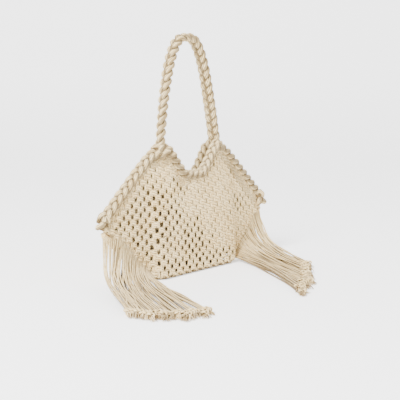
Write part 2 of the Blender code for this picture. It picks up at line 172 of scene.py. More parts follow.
# Where the knots are pulled apart
# columns: middle as shares of the half width and of the bag height, half sizes as the same shares
FRONT_OPEN = (
    (-0.48, 0.44, 0.220, 0.210),
    (-0.09, 0.25, 0.160, 0.130),
    (-0.08, 0.095, 0.440, 0.050),
    (-0.85, 0.43, 0.060, 0.050),
    (-0.165, 0.70, 0.070, 0.050),
    (-0.76, 0.57, 0.090, 0.080),
    (-0.92, 0.49, 0.080, 0.070),
    (-0.66, 0.26, 0.110, 0.100),
    (-0.53, 0.12, 0.100, 0.080),
    (0.62, 0.49, 0.080, 0.060),
)
BACK_OPEN = (
    (0.42, 0.44, 0.160, 0.120),
    (-0.20, 0.30, 0.110, 0.080),
    (0.00, 0.155, 0.400, 0.025),
)

# Lay of the fringes, from the corner (seam 0) to the base (seam 1)
# columns: seam share, heading in degrees from straight ahead to the left, run as a share of the strand,
# heading where it leaves the seam, reach of that first part as a share of the run,
# height of the first and the second part as shares of the seam's height,
# reach of the last part as a share of the run
LEFT_LAY = (
    (0.00, 36.0, 0.67, 42.0, 0.00, 0.04, 0.23, 0.79),
    (0.35, 36.0, 0.81, 39.0, 0.06, 0.12, 0.17, 0.71),
    (0.70, 32.5, 0.92, 35.0, 0.12, 0.30, 0.14, 0.64),
    (1.00, 27.7, 0.98, 31.0, 0.18, 1.00, 1.25, 0.56),
)
RIGHT_LAY = (
    (0.00, 23.0, 0.57, 4.0, 0.11, 0.08, 0.14, 0.44),
    (0.35, 23.8, 0.71, 10.0, 0.12, 0.12, 0.12, 0.48),
    (0.70, 27.3, 0.93, 16.0, 0.13, 0.25, 0.12, 0.53),
    (1.00, 34.4, 1.17, 3.0, 0.12, 0.85, 0.87, 0.56),
)

# Where the strands leave the seam's row of knots
# way from the row's middle over the seam, metres, and the share that it is less by at the base
LEFT_START = ((0.008, -0.011, 0.009), 0.1)
RIGHT_START = ((-0.013, -0.010, 0.006), 0.4)
END_LEVEL = 0.7         # of the strands' room on the floor, at their ends
LOWEST_LEVEL = 0.6      # and on the way there
LAST_TURN = 0.35        # of the turn that a strand has made, how much it turns on at its end

# One square knot seen from outside, in cord radii: right, up, out
# The two cords that cross its front, the loop that holds them, and the carried cords behind
KNOT_FRONT_UPPER = (
    (-3.2, 2.8, -0.4), (-2.2, 2.3, 0.9), (0.0, 1.15, 1.45), (2.3, 0.4, 1.1), (3.3, 0.2, 0.1),
)
KNOT_FRONT_LOWER = (
    (3.3, -2.8, 0.1), (2.3, -2.3, 1.1), (0.0, -1.1, 1.45), (-2.2, -0.4, 0.9), (-3.2, -0.2, -0.4),
)
KNOT_LOOP = (
    (-3.9, 3.3, -0.7), (-3.45, 1.8, 0.7), (-3.15, 0.0, 1.2), (-3.45, -1.8, 0.7), (-3.9, -3.3, -0.7),
)
KNOT_BEHIND = ((3.9, 3.2, -0.6), (3.3, 1.2, 0.1), (3.3, -1.2, 0.1), (3.9, -3.2, -0.6))
KNOT_CARRIED = ((1.05, 3.4, 0.1), (1.0, 0.0, -0.9), (1.05, -3.4, 0.1))
# Cords that come down to the knot from its two upper neighbours, right side; the left is its mirror
KNOT_FROM_INNER = ((5.6, 3.75, -0.5), (3.2, 3.35, 0.2), (1.0, 2.5, 0.2))
KNOT_FROM_OUTER = ((4.2, 4.6, -0.1), (3.4, 3.5, 0.5), (2.9, 2.3, -0.2))

# How finely the knot's cords are drawn, those that it has once and those that it has on both sides
# columns: cord, steps, sides
KNOT_CORDS = (
    (KNOT_FRONT_UPPER, 4, 6),
    (KNOT_FRONT_LOWER, 4, 6),
    (KNOT_LOOP, 3, 6),
    (KNOT_BEHIND, 2, 5),
)
KNOT_SIDE_CORDS = (
    (KNOT_CARRIED, 1, 5),
    (KNOT_FROM_INNER, 2, 5),
    (KNOT_FROM_OUTER, 2, 5),
)

# How loosely the knots of the front (-1) and the back (1) are tied
# columns: stretch across, how much less where pulled apart, stretch up, how much less where pulled apart
KNOT_STRETCH = {
    -1: (1.52, 0.37, 1.26, 0.28),
    1: (1.80, 0.05, 1.62, 0.05),
}
KNOT_OUT = 0.10         # of the net's thickness, from its middle to the knots' middle
KNOT_KEEP_OFF = 1.5     # cords, from the net's side to the last knot's middle
KNOT_ROOM_ABOVE = 0.7   # cords, from the top knot's middle to the net's upper edge
LOWEST_ROW = -3         # the rows below 0 run on under the base
FIRST_ROW = 0.35        # of the base's round, height of row 0
UNEVEN_LEAN = 0.09      # how unevenly the knots are tied: lean, place in metres and size
UNEVEN_PLACE = 0.0005
UNEVEN_SIZE = 0.03
EDGE_PITCH = 1.12       # cords, from one cord to the next along the net's edges
EDGE_LENGTH = 0.010     # of those cords, from the edge over the net
EDGE_TUCK = 0.0016      # and from the edge up into the rope
EDGE_STRAY = 0.0008

# Painted shade: the shade of the cords beside and before a cord, of the ropes above it and of the floor below
# it, painted into its colour beyond what the light alone does
# pairs: where the shade changes, and over what way, in the measure that each comment gives
KNOT_SHADE = (-0.10, 1.4)       # cord radii, from the net's middle out
FLOOR_SHADE = (0.0036, 0.0022)  # metres, from the floor up
RIM_SHADE = (0.0, 0.018)        # metres, from the right rim rope down
RIM_SHADE_PLACE = (0.070, 0.05)  # metres, along the rim
PEAK_SHADE = (0.0, 0.015)       # metres, from the left peak's ropes down
PEAK_SHADE_PLACE = (0.025, 0.02)  # metres, to both sides of the middle of that shade
PEAK_SHADE_X = -0.055
PLAIT_SHADE = (0.66, 0.28)      # half sizes of the plait, from its middle out
GROOVE_SHADE = (0.0, 0.32)      # half widths of the plait, from its middle to the sides
CREASE_SHADE = (0.58, 0.38)     # half widths of the bundle, from its middle to the sides
FLANK_SHADE = (-0.1, 0.8)       # cord radii, from the cord's middle out
CORNER_SHADE = (0.75, 0.40)     # reaches of the corner's knot, from its middle out
STRAND_SHADE = (0.02, 0.72)     # cord radii, from the strand's middle out
LEAVING_SHADE = (0.0, 0.35)     # of the strand's length, from the seam on
END_SHADE = (1.25, 1.2)         # sizes of the knot at a strand's end, from its middle out

# How dark such shade is at most, 0 to 1
ROPE_GROOVE = 0.45
HANDLE_GROOVE = 1.0
RIM_DARK = 0.85
CREASE_DARK = 0.85
FLANK_DARK = 0.90
STRAND_DARK = 0.95
SEAM_DARK = 0.35        # on the strands where they leave the seam
HOLLOW_DARK = 0.9
UNDER_DARK = 0.95       # on the strands beneath
UNDER_END_DARK = 0.65   # and on their ends
UPPER_DARK = (0.06, 0.8)  # on a strand in the middle of its room, and how much less at the top


# Shape of the bag, worked out as its model does, for arrays of places

def from_table(table, places, column):
    """Values of a column of a table at places, straight between its rows."""
    return np.interp(places, [row[0] for row in table], [row[column] for row in table])


def ease(part):
    """A share from 0 to 1, slowed at both its ends."""
    part = np.clip(part, 0.0, 1.0)
    return part * part * (3.0 - 2.0 * part)


def rising(value, start, width):
    """0 up to start, 1 from a width beyond it, and smooth between them."""
    return ease((value - start) / width)


def falling(value, start, width):
    """1 up to start, 0 from a width beyond it, and smooth between them."""
    return 1.0 - rising(value, start, width)


def rim_height(x):
    """Middle of the rim rope: flat over the peak, then a straight slope to the corner."""
    past = np.abs(x) - SHOULDER_X
    return RIM_LEVEL - RIM_SLOPE * (np.hypot(past, SHOULDER * SHOULDER_ROUND) + past) / 2


def sag_of(facing):
    """How much lower the back (1) of the mouth hangs than its front (-1)."""
    return BACK_SAG if facing > 0 else 0.0


def mouth_height(x, sag):
    """Middle of a mouth rope: flat at the dip and at the peaks."""
    low, high = DIP_FLAT[0] * PEAK_X, DIP_FLAT[1] * PEAK_X
    return MOUTH_LEVEL - (DIP_DEPTH + sag) * falling(np.abs(x), low, high - low)


def mouth_side(x):
    """Distance of a mouth rope's middle from the bag's middle plane."""
    share = np.minimum(np.abs(x) / PEAK_X, 1.0)
    return MOUTH_SIDE + MOUTH_OPENING / 2 * (1.0 - share * share) ** 2


def slope_of(height, x):
    """Rise of a height along x."""
    step = 0.001
    return (height(x + step) - height(x - step)) / (2 * step)


def net_top(x, sag):
    """Upper edge of the net, under the rope that carries it."""
    def mouth_level(at):
        return mouth_height(at, sag)

    reach = np.abs(x)
    mouth = MOUTH_ROPE * ROPE_THICK / 2 + LACING_GAP
    grown = 1.0 + (CORNER_KNOT - 1.0) * rising(reach / NET_END_X, 0.85, 0.12)
    rim = RIM_ROPE * ROPE_THICK / 2 * grown + LACING_GAP
    below_mouth = mouth_level(x) - mouth * np.hypot(1.0, slope_of(mouth_level, x))
    below_rim = rim_height(x) - rim * np.hypot(1.0, slope_of(rim_height, x))
    both = np.minimum(below_mouth, below_rim)
    outside_dip = np.where(reach > PEAK_X + SHOULDER / 2, below_rim, both)
    return np.where(reach < PEAK_X - SHOULDER / 2, below_mouth, outside_dip)


def net_bottom(x):
    """Underside of the net: the floor along the base, then up the side seam."""
    past = np.abs(x) - HALF_BASE
    turn = SEAM_SLOPE * (past + SEAM_ROUND) ** 2 / (4 * SEAM_ROUND)
    return np.where(past <= -SEAM_ROUND, 0.0, np.where(past < SEAM_ROUND, turn, SEAM_SLOPE * past))


def base_side(x):
    """Distance of the net's middle from the bag's middle plane at the base."""
    return BASE_HALF_DEPTH * from_table(BASE_OUTLINE, np.abs(x) / HALF_WIDTH, 1) - NET_THICK / 2


def top_side(x):
    """The same at the net's upper edge."""
    part = rising(np.abs(x), 0.75 * PEAK_X, 0.55 * PEAK_X)
    return mouth_side(x) * (1.0 - part) + (NET_THICK / 2 + CLEARANCE) * part


def net_foot(x):
    """Radius of the turn at the net's foot, and the level at which the turn starts."""
    radius = np.minimum(WALL_ROUND, base_side(x) - CLEARANCE)
    return radius, net_bottom(x) + NET_THICK / 2 + radius


def wall_point(x, level, sag):
    """Depth and height of the net's middle at x, for a level that runs on under the base."""
    side = base_side(x)
    radius, foot = net_foot(x)
    top = np.maximum(net_top(x, sag), foot + NET_THICK / 2)
    part = np.clip((top - level) / (top - foot), 0.0, 1.0)
    swell = 1.0 - (1.0 - part) ** WALL_SWELL
    below = np.maximum(foot - level, 0.0)
    angle = np.minimum(below / radius, math.pi / 2)
    under = np.maximum(below - radius * math.pi / 2, 0.0)
    start = top_side(x)
    depth = start + (side - start) * swell - radius * (1.0 - np.cos(angle)) - under
    height = np.where(level > foot, level, foot - radius * np.sin(angle))
    return depth, height


def on_net(points, facing):
    """Points given as x, level along the net and distance outwards, set on the front (-1) or back (1) net."""
    x, level, out = points[:, 0], points[:, 1], points[:, 2]
    step = 0.0005
    sag = sag_of(facing)
    depth, height = wall_point(x, level, sag)
    depth_up, height_up = wall_point(x, level + step, sag)
    depth_down, height_down = wall_point(x, level - step, sag)
    rise, lean = height_up - height_down, depth_up - depth_down
    size = np.maximum(np.hypot(rise, lean), 1e-9)
    depth = depth + out * rise / size
    height = height - out * lean / size
    return np.stack([x, facing * depth, height], axis=1)


# Cord as a mesh

CURVE_STEPS = 8         # between two given points of a curve
CUT_END = 0.55          # how far a cord's cut end is drawn in, and how far it goes on, in radii
CUT_LENGTH = 0.5


def smooth_path(points, count):
    """Evenly spaced points on a smooth curve through the given ones."""
    points = np.asarray(points, float)
    ends = np.vstack([2 * points[0] - points[1], points, 2 * points[-1] - points[-2]])
    fine = []
    for i in range(len(points) - 1):
        a, b, c, d = ends[i : i + 4]
        for part in np.linspace(0.0, 1.0, CURVE_STEPS, endpoint=False):
            square = (2 * a - 5 * b + 4 * c - d) * part**2
            cube = (3 * b - a - 3 * c + d) * part**3
            fine.append(0.5 * (2 * b + (c - a) * part + square + cube))
    fine.append(points[-1])
    return even_path(np.array(fine), count)


def step_lengths(path):
    """Length of each step of a path."""
    return np.linalg.norm(np.diff(path, axis=0), axis=1)


def run_along(path):
    """Length from a path's start to each of its points."""
    return np.concatenate([[0.0], np.cumsum(step_lengths(path))])


def even_path(fine, count):
    """The same line cut into count steps of one length."""
    run = run_along(fine)
    wanted = np.linspace(0.0, run[-1], count + 1)
    return np.stack([np.interp(wanted, run, fine[:, axis]) for axis in range(3)], axis=1)


def directions(path):
    """Direction of a path at each of its points."""
    along = np.gradient(path, axis=0)
    return along / np.maximum(np.linalg.norm(along, axis=1, keepdims=True), 1e-12)


def carried_frames(path):
    """Two side directions along a path that don't turn about it."""
    along = directions(path)
    seed = np.array([0.0, 1.0, 0.0]) if abs(along[0][1]) < 0.9 else np.array([1.0, 0.0, 0.0])
    side = seed - seed.dot(along[0]) * along[0]
    sides = []
    for tangent in along:
        side = side - side.dot(tangent) * tangent
        side = side / np.linalg.norm(side)
        sides.append(side)
    sides = np.array(sides)
    return along, sides, np.cross(along, sides)


class Yarn:
    """Cord collected for one piece: its rings, their faces, where each face lies on its cord, and the shade
    painted on each point.
    """

    def __init__(self):
        self.points, self.faces, self.laid, self.sunk, self.count = [], [], [], [], 0

    def add(self, points, quads, laid, sunk=0.0):
        """Adds a mesh of quads, with a place along and round the cord for each of their corners.

        The last argument is how deep each point lies between its neighbours, 0 to 1, which is painted into
        its colour as shade."""
        self.points.append(points)
        self.faces.append(quads + self.count)
        self.laid.append(laid)
        self.sunk.append(np.broadcast_to(sunk, (len(points),)))
        self.count += len(points)

    def cord(self, path, radius=CORD / 2, sides=6, sunk=0.0):
        """Adds one cord with closed ends. radius is one value, or one for each point of the path.

        The last argument, the painted shade, is a value, or works out how deep points lie, and so how darkly
        shade is painted on them, when it gets them in rings along the path."""
        points, quads, laid = cord_mesh(np.asarray(path, float), radius, sides)
        depth = sunk(points.reshape(-1, sides, 3)).ravel() if callable(sunk) else sunk
        self.add(points, quads, laid, depth)

    def piece(self, name, finish, slot, nodes):
        """Makes the piece, which rides with the bag and stands for its solids."""
        points, faces, laid = np.vstack(self.points), np.vstack(self.faces), np.vstack(self.laid)
        mesh = bpy.data.meshes.new(name)
        mesh.vertices.add(len(points))
        mesh.vertices.foreach_set("co", points.astype(np.float32).ravel())
        mesh.loops.add(faces.size)
        mesh.loops.foreach_set("vertex_index", faces.astype(np.int32).ravel())
        mesh.polygons.add(len(faces))
        mesh.polygons.foreach_set("loop_start", np.arange(0, faces.size, 4, dtype=np.int32))
        mesh.polygons.foreach_set("loop_total", np.full(len(faces), 4, dtype=np.int32))
        mesh.update(calc_edges=True)
        places = mesh.uv_layers.new(name="along_and_round")
        places.data.foreach_set("uv", laid.astype(np.float32).ravel())
        # Shade painted into the colour of each point, 0 to 1, which the finishes read
        sunk = mesh.attributes.new("sunk", "FLOAT", "POINT")
        sunk.data.foreach_set("value", np.concatenate(self.sunk).astype(np.float32))
        mesh.validate()
        mesh.shade_smooth()
        made = bpy.data.objects.new(name, mesh)
        bpy.context.scene.collection.objects.link(made)
        made.data.materials.append(finish)
        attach(made, "root")
        if nodes:
            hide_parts(*nodes)


def cord_mesh(path, radius, sides):
    """Rings round a path, drawn in to a small flat at both ends, as points, quads and places."""
    along, side, other = carried_frames(path)
    radius = np.broadcast_to(np.asarray(radius, float), (len(path),))
    first, last = along[0] * radius[0] * CUT_LENGTH, along[-1] * radius[-1] * CUT_LENGTH
    path = np.vstack([path[0] - first, path, path[-1] + last])
    radius = np.concatenate([[radius[0] * CUT_END], radius, [radius[-1] * CUT_END]])
    side, other = (np.vstack([axis[:1], axis, axis[-1:]]) for axis in (side, other))
    angle = np.arange(sides) * 2 * math.pi / sides
    ring = side[:, None] * np.cos(angle)[None, :, None] + other[:, None] * np.sin(angle)[None, :, None]
    points = (path[:, None] + ring * radius[:, None, None]).reshape(-1, 3)
    starts, turn = np.arange(len(path) - 1)[:, None] * sides, np.arange(sides)[None, :]
    this, after = starts + turn, starts + (turn + 1) % sides
    quads = np.stack([this, after, after + sides, this + sides], -1)
    run = run_along(path)
    low, high = run[:-1, None], run[1:, None]
    near, far = turn / sides, (turn + 1) / sides
    places = ((low, near), (low, far), (high, far), (high, near))
    laid = np.stack([np.stack(np.broadcast_arrays(*place), -1) for place in places], 2)
    quads, laid = quads.reshape(-1, 4), laid.reshape(-1, 2)
    caps, cap_places = [], []
    for ring_start, order in ((0, (3, 2, 1, 0)), ((len(path) - 1) * sides, (0, 1, 2, 3))):
        for step in range(1, sides - 2, 2):
            corners = [0, step, step + 1, step + 2]
            caps.append([ring_start + corners[k] for k in order])
            cap_places += [(0.0, corners[k] / sides) for k in order]
    return points, np.vstack([quads, np.array(caps)]), np.vstack([laid, np.array(cap_places)])


# Pieces of the bag

def openness(x, z, zones):
    """How far the knots are pulled apart at places on the net, 0 to 1."""
    most = np.zeros_like(x)
    for middle_x, middle_z, half_x, half_z in zones:
        away = np.hypot((x / HALF_WIDTH - middle_x) / half_x, (z / BAG_HEIGHT - middle_z) / half_z)
        most = np.maximum(most, ease(1.6 - 0.8 * away))
    return most


def knot_cords():
    """The cords of one square knot as meshes, with places in cord radii."""
    made = []
    for path, steps, sides in KNOT_CORDS:
        made.append(cord_mesh(smooth_path(path, steps), 1.0, sides))
    for side in (-1, 1):
        for path, steps, sides in KNOT_SIDE_CORDS:
            made.append(cord_mesh(smooth_path(np.array(path) * (side, 1, 1), steps), 1.0, sides))
    return made


def rope_shade(x, below):
    """Shadow painted on the knots that lie so far below the net's upper edge, cast by the front's ropes under
    the right rim and the left peak, 0 to 1.
    """
    right_rim = RIM_DARK * falling(below, *RIM_SHADE) * rising(x, *RIM_SHADE_PLACE)
    left_peak = falling(below, *PEAK_SHADE) * falling(abs(x - PEAK_SHADE_X), *PEAK_SHADE_PLACE)
    return max(right_rim, left_peak)


def knot_places(sag):
    """Middles of a net's knots along x and up the net, each with the net's upper edge there."""
    columns = int(HALF_WIDTH / KNOT_PITCH) + 1
    for row in range(LOWEST_ROW, int(BAG_HEIGHT / ROW_PITCH) + 1):
        level = row * ROW_PITCH + BASE_ROUND * FIRST_ROW
        shift = 0.0 if row % 2 else KNOT_PITCH / 2
        for column in range(-columns, columns + 1):
            x = column * KNOT_PITCH + shift
            if abs(x) > NET_END_X - KNOT_KEEP_OFF * CORD:
                continue
            turn_radius, foot = net_foot(x)
            lowest = foot - turn_radius * 0.9
            if abs(x) < HALF_BASE - 2 * CORD:
                lowest = foot - turn_radius * math.pi / 2 - base_side(x) + turn_radius
            highest = min(net_top(x - 2 * CORD, sag), net_top(x + 2 * CORD, sag))
            if lowest <= level <= highest - KNOT_ROOM_ABOVE * CORD:
                yield x, level, highest


def knotted_net(name, facing, zones, nodes, seed):
    """Net of square knots, each row half a knot beside the next, over one wall and its half of the base."""
    chance = np.random.default_rng(seed)
    yarn = Yarn()
    knot = knot_cords()
    radius = CORD / 2
    wide, less_wide, high, less_high = KNOT_STRETCH[facing]
    for x, level, highest in knot_places(sag_of(facing)):
        open_share = float(openness(np.array([x]), np.array([level]), zones)[0])
        spread = wide - less_wide * open_share
        tall = high - less_high * open_share
        # Painted shadow of the ropes above, on the front net only
        shade = rope_shade(x, highest - level) if facing < 0 else 0.0
        lean = chance.normal(0.0, UNEVEN_LEAN)
        place = chance.normal(0.0, UNEVEN_PLACE, 2)
        size = chance.normal(1.0, UNEVEN_SIZE)
        for points, quads, laid in knot:
            across = points[:, 0] * spread * size
            up = points[:, 1] * tall * size
            turned = np.stack([across - up * lean, up + across * lean * 0.5, points[:, 2]], axis=1)
            local = turned * radius + (x + place[0], level + place[1], NET_THICK * KNOT_OUT)
            faces = quads if facing < 0 else quads[:, ::-1]
            corners = laid if facing < 0 else laid.reshape(-1, 4, 2)[:, ::-1].reshape(-1, 2)
            set_down = on_net(local, facing)
            set_down[:, 2] = np.maximum(set_down[:, 2], 0.0003)
            # Shade painted where a knot's cords lie deep in it; the back net's inside faces are left lighter,
            # as they are seen from inside the bag
            height = points[:, 2] if facing < 0 else np.abs(points[:, 2] + 0.2)
            sunk = np.maximum(falling(height, *KNOT_SHADE), shade)
            # Painted contact shadow on the knots nearest the floor
            sunk = np.maximum(sunk, falling(set_down[:, 2], *FLOOR_SHADE))
            yarn.add(set_down, faces, corners * (radius, 1.0), sunk)
    edge_cords(yarn, facing, chance)
    yarn.piece(name, NET_COTTON, "knotted_cotton", nodes)


def edge_cords(yarn, facing, chance):
    """Cords that tie the net to its ropes at the top and run into the side seams at the bottom."""
    step = CORD * EDGE_PITCH
    count = int(2 * (NET_END_X - CORD) / step)
    for i in range(count + 1):
        x = -NET_END_X + CORD + i * step
        top = net_top(x, sag_of(facing))
        radius, foot = net_foot(x)
        end = x + chance.normal(0.0, EDGE_STRAY)
        upper = np.linspace(top + EDGE_TUCK, max(top - EDGE_LENGTH, foot), 5)
        path = np.stack([np.linspace(x, end, 5), upper, np.full(5, -0.0005)], axis=1)
        yarn.cord(on_net(path, facing), sides=5)
        if abs(x) > HALF_BASE - SEAM_ROUND:
            lower = np.linspace(min(foot + EDGE_LENGTH, top), foot - radius * 1.5, 7)
            path = np.stack([np.linspace(end, x, 7), lower, np.full(7, -0.0006)], axis=1)
            yarn.cord(on_net(path, facing), sides=5)


def with_ends(values):
    """Values at a path's points, with the first and the last one again for the caps of its cord."""
    return np.vstack([values[:1], values, values[-1:]])


def sunk_in(centre, wide, thick, half_wide, half_thick, groove):
    """Works out the shade painted on rings of points: deeper below a plait's outside, and in the groove
    between its rows.
    """
    def depth(rings):
        away = rings - with_ends(centre)[:, None]
        across = (away * with_ends(wide)[:, None]).sum(axis=2) / half_wide
        through = (away * with_ends(thick)[:, None]).sum(axis=2) / half_thick
        below = falling(np.hypot(across, through), *PLAIT_SHADE)
        return np.maximum(below, groove * falling(np.abs(across), *GROOVE_SHADE))
    return depth


def flank(rings, path, outward, radius):
    """Shade painted on the flanks of a cord, between it and the cords beside it, 0 to 1."""
    facing = ((rings - with_ends(path)[:, None]) * with_ends(outward)[:, None]).sum(axis=2) / radius
    return falling(facing, *FLANK_SHADE)


def bundle(yarn, middle, side, other, half_wide, half_thick, start, sunk):
    """Cords laid parallel round the middle of a bundle, turning slowly with it, to its outer half sizes."""
    radius = math.pi * (half_wide + half_thick) / 2 / (BUNDLE_CORDS + math.pi)
    run = run_along(middle)

    # Shade painted on each cord: the plait's, more in the bundle's creases at its sides, and on the cord's
    # flanks
    def shaded(path, outward):
        def depth(rings):
            away = rings - with_ends(middle)[:, None]
            lateral = np.abs((away * with_ends(side)[:, None]).sum(axis=2)) / half_wide
            crease = CREASE_DARK * rising(lateral, *CREASE_SHADE)
            beside = FLANK_DARK * flank(rings, path, outward, radius)
            return np.maximum(np.maximum(sunk(rings), crease), beside)
        return depth

    for k in range(BUNDLE_CORDS):
        angle = start + 2 * math.pi * (k / BUNDLE_CORDS + run / (PLAIT_PITCH * BUNDLE_TWIST))
        right, up = np.cos(angle)[:, None], np.sin(angle)[:, None]
        path = middle + side * (half_wide - radius) * right + other * (half_thick - radius) * up
        yarn.cord(path, radius * CORD_PRESS, sunk=shaded(path, side * right + other * up))
    yarn.cord(middle, min(half_wide, half_thick) - radius * CORE_ROOM, sunk=sunk)


def plait(yarn, centre, wide, thick, width, depth, pitch, groove, way=1, size=1.0):
    """Three flat bundles plaited over and under each other round a centre line."""
    length = step_lengths(centre).sum()
    phase = np.linspace(0.0, 2 * math.pi * round(length / pitch) / BUNDLES, len(centre))
    size = np.broadcast_to(size, len(centre))[:, None]
    # Shade painted on the plait's cords, deeper inside it and along its middle groove
    sunk = sunk_in(centre, wide, thick, width / 2 * with_ends(size), depth / 2 * with_ends(size), groove)
    for number in range(BUNDLES):
        at = phase + 2 * math.pi * number / BUNDLES
        across, over = np.sin(at) * width * SWING[0], way * np.sin(2 * at) * depth * SWING[1]
        middle = centre + (wide * across[:, None] + thick * over[:, None]) * size
        lead = directions(middle)
        flat = np.cross(thick, lead)
        flat /= np.linalg.norm(flat, axis=1, keepdims=True)
        up = np.cross(lead, flat)
        half_wide, half_thick = width * BUNDLE_SIZE[0], depth * BUNDLE_SIZE[1]
        bundle(yarn, middle, flat * size, up * size, half_wide, half_thick, number * BUNDLE_TURN, sunk)


def plaited_rope(yarn, fine, mean, pitch, to_front=0.0, size=None):
    """Rope of a rim or the mouth. Its flat side is out, turned to_front degrees to the front of the bag."""
    length = step_lengths(fine).sum()
    centre = even_path(fine, int(length / ROPE_STEP))
    _, side, other = carried_frames(centre)
    turn = math.radians(to_front)
    wide = side * math.cos(turn) - other * math.sin(turn)
    thick = other * math.cos(turn) + side * math.sin(turn)
    grown = 1.0 if size is None else size(np.linspace(-length, 0.0, len(centre)))
    width = mean * ROPE_WIDTH * ROPE_FULLNESS
    depth = mean * ROPE_THICK * ROPE_FULLNESS
    plait(yarn, centre, wide, thick, width, depth, pitch, ROPE_GROOVE, -1, grown)


def peak_rise(x):
    """How much the ropes are pushed up where they cross over the handle's foot."""
    lift, inwards, spread = 0.0055, 0.003, 0.013
    return lift * np.exp(-(((np.abs(x) - PEAK_X + inwards) / spread) ** 2))


def rim_rope(name, side, to_front):
    """Rope along an outer slope, from over the mouth ropes at the peak to the corner's knot."""
    past_peak, into_knot, forward, lower = 0.016, 0.002, 0.010, 0.005
    x = np.linspace(PEAK_X - past_peak, RIM_END_X + into_knot, 200)
    over = falling(x - PEAK_X, -0.010, 0.030)
    centre = np.stack([side * x, -forward * over, rim_height(x) + peak_rise(x) - lower * over], axis=1)

    def size(from_end):
        return 1.0 + (CORNER_KNOT - 1.0) * rising(from_end, -0.018, 0.010)

    yarn = Yarn()
    plaited_rope(yarn, centre, RIM_ROPE, RIM_PITCH, to_front, size)
    corner_knot(yarn, side)
    yarn.piece(name.replace("rope", "plait"), ROPE_COTTON, "cotton_rope", [name])


def round_knot(turn):
    """A cord's way round a knot of three loops, at angles of turn: right, up and forward."""
    right = np.sin(turn) + KNOT_LOBES * np.sin(2 * turn)
    up = np.cos(turn) - KNOT_LOBES * np.cos(2 * turn)
    return right, up, -np.sin(3 * turn)


def corner_knot(yarn, side):
    """Rope's end at a side corner, tied in a round knot of one full bundle."""
    forward, tightness = (0.0, 0.44) if side < 0 else (0.006, 0.54)
    slant, inset, drop = 0.30, 0.0015, KNOT_DROP * 0.45
    middle = np.array([side * (RIM_END_X - inset) - forward, -forward, CORNER_LEVEL - drop])
    down = np.array([side * slant, 0.0, -1.0]) / math.hypot(1.0, slant)
    out = np.array([0.0, 1.0, 0.0])
    away = np.cross(out, down)
    reach = RIM_ROPE * CORNER_KNOT / 2
    right, fall, over = round_knot(np.linspace(0.0, 2 * math.pi, 70) + 0.5)
    path = np.stack([right, over * 1.3, fall * 1.1], axis=1) * reach * tightness
    path = middle + path @ np.stack([away, out, down])

    # Shade painted deeper towards the knot's middle
    def sunk(rings):
        return falling(np.linalg.norm(rings - middle, axis=2) / reach, *CORNER_SHADE)

    _, first, second = carried_frames(path)
    half_bundle, core, core_length = reach * 0.42, reach * 0.62, 0.7
    bundle(yarn, path, first, second, half_bundle, half_bundle, 0.0, sunk)
    # The core inside the knot, painted in full shade
    yarn.cord(middle + down * np.linspace(-core_length, core_length, 8)[:, None] * reach, core, 8, 1.0)


def mouth_rope(name, side):
    """Rope along the front (-1) or the back (1) of the mouth, its ends tucked under the rim ropes."""
    past_peak = 0.010
    x = np.linspace(-PEAK_X - past_peak, PEAK_X + past_peak, 220)
    centre = np.stack([x, side * mouth_side(x), mouth_height(x, sag_of(side)) + peak_rise(x)], axis=1)
    past = np.maximum(np.abs(x) - PEAK_X + 0.006, 0.0)
    centre[:, 1] *= 1.0 - past / 0.020
    yarn = Yarn()
    plaited_rope(yarn, centre, MOUTH_ROPE, PLAIT_PITCH)
    yarn.piece(name.replace("rope", "plait"), ROPE_COTTON, "cotton_rope", [name])


def plaited_handle():
    """Handle from peak to peak, its feet sunk into the peaks."""
    share = -np.cos(np.linspace(0.0, math.pi, 801))
    foot = handle_low.z
    rise = HANDLE_TOP - foot
    lean = HANDLE_LEAN * (1.0 - np.abs(share) ** 6)
    fine = np.stack([PEAK_X * share, lean, foot + rise * (1.0 - np.abs(share) ** HANDLE_ARCH)], axis=1)
    buried = fine[[0, -1]] - (0.0, 0.0, RIM_ROPE * HANDLE_SUNK)
    fine = np.vstack([buried[:1], fine, buried[1:]])
    path = even_path(fine, int(step_lengths(fine).sum() / HANDLE_STEP))
    _, side, other = carried_frames(path)
    place = np.linspace(-1.0, 1.0, len(path))
    turn = -np.radians(HANDLE_TURN) * np.abs(place) * np.minimum(1.0, np.abs(place) * 1.6)
    wide = side * np.cos(turn)[:, None] + other * np.sin(turn)[:, None]
    thick = other * np.cos(turn)[:, None] - side * np.sin(turn)[:, None]
    yarn = Yarn()
    plait(yarn, path, wide, thick, HANDLE_WIDTH, HANDLE_THICK, PLAIT_PITCH, HANDLE_GROOVE)
    yarn.piece("handle_plait", ROPE_COTTON, "cotton_rope", ["handle"])


def seam_point(side, share):
    """Middle of a fringe's head: share 0 is at the corner, 1 where the seam meets the floor."""
    drop = (HEAD_THICK / 2 + CLEARANCE) * SEAM_STRETCH
    low = HALF_BASE + (HEAD_THICK / 2 + drop) / SEAM_SLOPE
    x = RIM_END_X + (low - RIM_END_X) * share
    return np.array([side * x, 0.0, SEAM_SLOPE * (x - HALF_BASE) - drop])


def ahead(heading):
    """Level direction, in degrees from straight ahead of the bag to its left."""
    angle = math.radians(heading)
    return np.array([-math.sin(angle), -math.cos(angle), 0.0])


def strand_path(side, share, lay, stretch=1.0):
    """Path of one strand: down from the seam, forward, and along the floor."""
    heading, run, first_heading, first_reach, first_height, second_height, last_reach = (
        float(from_table(lay, share, column)) for column in range(1, 8)
    )
    run *= STRAND_LENGTH * stretch
    seam = seam_point(side, share)
    inward, less = LEFT_START if side < 0 else RIGHT_START
    start = seam + np.array(inward) * float(ease(share * 4.0) * (1.0 - less * share))
    end = seam + ahead(heading) * run
    end[2] = STRAND_ROOM * END_LEVEL
    lowest = STRAND_ROOM * LOWEST_LEVEL
    leave = seam + ahead(first_heading) * run * first_reach
    leave[2] = max(seam[2] * first_height, lowest)
    last_heading = heading + (heading - first_heading) * LAST_TURN
    land = end - ahead(last_heading) * run * last_reach
    land[2] = max(seam[2] * second_height, lowest)
    part = np.linspace(0.0, 1.0, 120)[:, None]
    back = 1.0 - part
    return start * back**3 + leave * 3 * back**2 * part + land * 3 * back * part**2 + end * part**3


